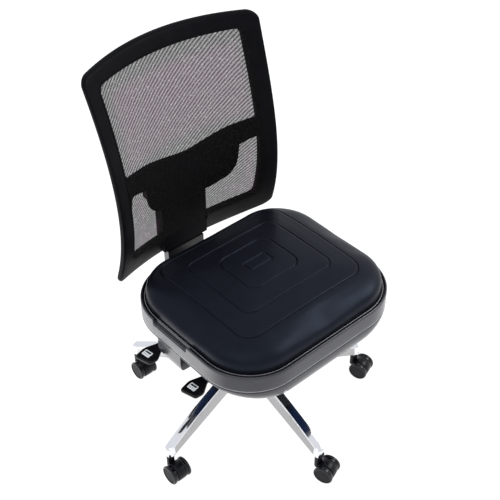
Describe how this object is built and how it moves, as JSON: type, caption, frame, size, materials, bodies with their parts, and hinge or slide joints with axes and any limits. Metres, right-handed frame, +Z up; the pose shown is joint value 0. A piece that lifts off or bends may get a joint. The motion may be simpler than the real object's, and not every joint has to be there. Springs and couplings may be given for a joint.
{
  "type": "swivel chair",
  "caption": "Armless office swivel chair with a curved mesh back, a grooved moulded cushion in a deep tray, a gas lift and a polished star base on twin-wheel casters.",
  "frame": {"origin": "on the floor, on the axis of the swivel column", "axes": "+Z up; the front of the chair faces -Y, so +X is the sitter's left"},
  "size_m": [0.6416, 0.6585, 0.949],
  "materials": {
    "polished_aluminium": "mirror polished",
    "black_steel": "black powder coat",
    "bright_steel": "zinc plated",
    "spring_steel": "oiled spring steel",
    "black_plastic": "satin moulded nylon",
    "wheel_plastic": "glossy tread with a satin disc face",
    "tray_plastic": "satin moulded polypropylene",
    "grey_plastic": "satin grey plastic",
    "back_plastic": "fine-textured black plastic",
    "plywood": "bare moulded plywood",
    "seat_foam": "polyurethane foam",
    "seat_skin": "smooth satin moulded skin",
    "back_mesh": "open knitted mesh",
    "label": "printed label"
  },
  "bodies": {
    "base": {"star_base": "polished_aluminium", "column_outer_tube": "black_steel", "column_bush": "black_plastic", "thrust_bearing": "bright_steel", "caster_stems": "bright_steel"},
    "spindle": {"piston_rod": "bright_steel", "retaining_clip": "spring_steel"},
    "seat": {"gas_spring_cylinder": "black_steel", "mechanism_housing": "black_steel", "mechanism_cover": "black_plastic", "tilt_hinge_pin": "bright_steel", "recline_spring": "spring_steel", "lever_pivot_pins": "bright_steel", "seat_bolts": "bright_steel", "seat_nuts": "bright_steel", "seat_tray_lower": "tray_plastic", "seat_tray_rim": "tray_plastic", "seat_pan": "plywood", "seat_foam": "seat_foam", "seat_skin": "seat_skin", "arm_mount_left": "tray_plastic", "arm_mount_right": "tray_plastic"},
    "release_button": {"gas_release_button": "bright_steel"},
    "height_lever": {"height_lever_rod": "black_steel", "height_lever_paddle": "black_plastic", "height_lever_label": "label"},
    "recline_lever": {"recline_lever_rod": "black_steel", "recline_lever_paddle": "black_plastic", "recline_lever_label": "label"},
    "tension_adjuster": {"tension_knob": "black_plastic", "tension_screw": "bright_steel"},
    "back_bracket": {"back_bracket": "black_steel", "bracket_cover": "grey_plastic"},
    "backrest": {"back_spine": "back_plastic", "back_frame": "back_plastic", "back_mesh": "back_mesh", "back_screws": "bright_steel"},
    "caster_1": {"caster_1_yoke": "black_plastic", "caster_1_axle": "bright_steel"},
    "caster_1_left": {"caster_1_wheel_left": "wheel_plastic"},
    "caster_1_right": {"caster_1_wheel_right": "wheel_plastic"},
    "caster_2": {"caster_2_yoke": "black_plastic", "caster_2_axle": "bright_steel"},
    "caster_2_left": {"caster_2_wheel_left": "wheel_plastic"},
    "caster_2_right": {"caster_2_wheel_right": "wheel_plastic"},
    "caster_3": {"caster_3_yoke": "black_plastic", "caster_3_axle": "bright_steel"},
    "caster_3_left": {"caster_3_wheel_left": "wheel_plastic"},
    "caster_3_right": {"caster_3_wheel_right": "wheel_plastic"},
    "caster_4": {"caster_4_yoke": "black_plastic", "caster_4_axle": "bright_steel"},
    "caster_4_left": {"caster_4_wheel_left": "wheel_plastic"},
    "caster_4_right": {"caster_4_wheel_right": "wheel_plastic"},
    "caster_5": {"caster_5_yoke": "black_plastic", "caster_5_axle": "bright_steel"},
    "caster_5_left": {"caster_5_wheel_left": "wheel_plastic"},
    "caster_5_right": {"caster_5_wheel_right": "wheel_plastic"}
  },
  "joints": [
    {"name": "seat_swivel", "type": "hinge", "parent": "base", "child": "spindle", "pos_m": [0, 0, 0.07], "axis": [0, 0, 1], "continuous": true},
    {"name": "seat_height", "type": "slide", "parent": "spindle", "child": "seat", "axis": [0, 0, 1], "range_m": [0, 0.1]},
    {"name": "release_press", "type": "slide", "parent": "seat", "child": "release_button", "axis": [0, 0, -1], "range_m": [0, 0.0025], "stiffness_N_per_m": 400},
    {"name": "height_lever_lift", "type": "hinge", "parent": "seat", "child": "height_lever", "pos_m": [-0.032, 0, 0.3045], "axis": [0, 1, 0], "range_deg": [0, 3.5], "stiffness_Nm_per_rad": 0.5, "springref_deg": -11.46},
    {"name": "recline_lever_press", "type": "hinge", "parent": "seat", "child": "recline_lever", "pos_m": [-0.06, -0.107, 0.3045], "axis": [0, -1, 0], "range_deg": [0, 8]},
    {"name": "tension_turn", "type": "hinge", "parent": "seat", "child": "tension_adjuster", "pos_m": [0, -0.11, 0.24], "axis": [0, 0, 1], "range_deg": [0, 900]},
    {"name": "back_recline", "type": "hinge", "parent": "seat", "child": "back_bracket", "pos_m": [0, 0.08, 0.29], "axis": [-1, 0, 0], "range_deg": [0, 18], "stiffness_Nm_per_rad": 60, "springref_deg": -17.19},
    {"name": "back_height", "type": "slide", "parent": "back_bracket", "child": "backrest", "axis": [0, 0, 1], "range_m": [0, 0.06]},
    {"name": "caster_1_swivel", "type": "hinge", "parent": "base", "child": "caster_1", "pos_m": [-0.03188, -0.30333, 0.05], "axis": [0, 0, 1], "continuous": true},
    {"name": "caster_1_left_roll", "type": "hinge", "parent": "caster_1", "child": "caster_1_left", "pos_m": [-0.02407, -0.32602, 0.025], "axis": [0.9455, 0.3256, 0], "continuous": true},
    {"name": "caster_1_right_roll", "type": "hinge", "parent": "caster_1", "child": "caster_1_right", "pos_m": [-0.02407, -0.32602, 0.025], "axis": [0.9455, 0.3256, 0], "continuous": true},
    {"name": "caster_2_swivel", "type": "hinge", "parent": "base", "child": "caster_2", "pos_m": [0.27863, -0.12405, 0.05], "axis": [0, 0, 1], "continuous": true},
    {"name": "caster_2_left_roll", "type": "hinge", "parent": "caster_2", "child": "caster_2_left", "pos_m": [0.28605, -0.14688, 0.025], "axis": [0.9511, 0.309, 0], "continuous": true},
    {"name": "caster_2_right_roll", "type": "hinge", "parent": "caster_2", "child": "caster_2_right", "pos_m": [0.28605, -0.14688, 0.025], "axis": [0.9511, 0.309, 0], "continuous": true},
    {"name": "caster_3_swivel", "type": "hinge", "parent": "base", "child": "caster_3", "pos_m": [0.20408, 0.22666, 0.05], "axis": [0, 0, 1], "continuous": true},
    {"name": "caster_3_left_roll", "type": "hinge", "parent": "caster_3", "child": "caster_3_left", "pos_m": [0.20825, 0.20302, 0.025], "axis": [0.9848, 0.1736, 0], "continuous": true},
    {"name": "caster_3_right_roll", "type": "hinge", "parent": "caster_3", "child": "caster_3_right", "pos_m": [0.20825, 0.20302, 0.025], "axis": [0.9848, 0.1736, 0], "continuous": true},
    {"name": "caster_4_swivel", "type": "hinge", "parent": "base", "child": "caster_4", "pos_m": [-0.1525, 0.26414, 0.05], "axis": [0, 0, 1], "continuous": true},
    {"name": "caster_4_left_roll", "type": "hinge", "parent": "caster_4", "child": "caster_4_left", "pos_m": [-0.1525, 0.24014, 0.025], "axis": [1, 0, 0], "continuous": true},
    {"name": "caster_4_right_roll", "type": "hinge", "parent": "caster_4", "child": "caster_4_right", "pos_m": [-0.1525, 0.24014, 0.025], "axis": [1, 0, 0], "continuous": true},
    {"name": "caster_5_swivel", "type": "hinge", "parent": "base", "child": "caster_5", "pos_m": [-0.29834, -0.06341, 0.05], "axis": [0, 0, 1], "continuous": true},
    {"name": "caster_5_left_roll", "type": "hinge", "parent": "caster_5", "child": "caster_5_left", "pos_m": [-0.29834, -0.08741, 0.025], "axis": [1, 0, 0], "continuous": true},
    {"name": "caster_5_right_roll", "type": "hinge", "parent": "caster_5", "child": "caster_5_right", "pos_m": [-0.29834, -0.08741, 0.025], "axis": [1, 0, 0], "continuous": true}
  ],
  "couplings": [
    {"joint": "release_press", "follows": "height_lever_lift", "m_per_rad": 0.032}
  ]
}
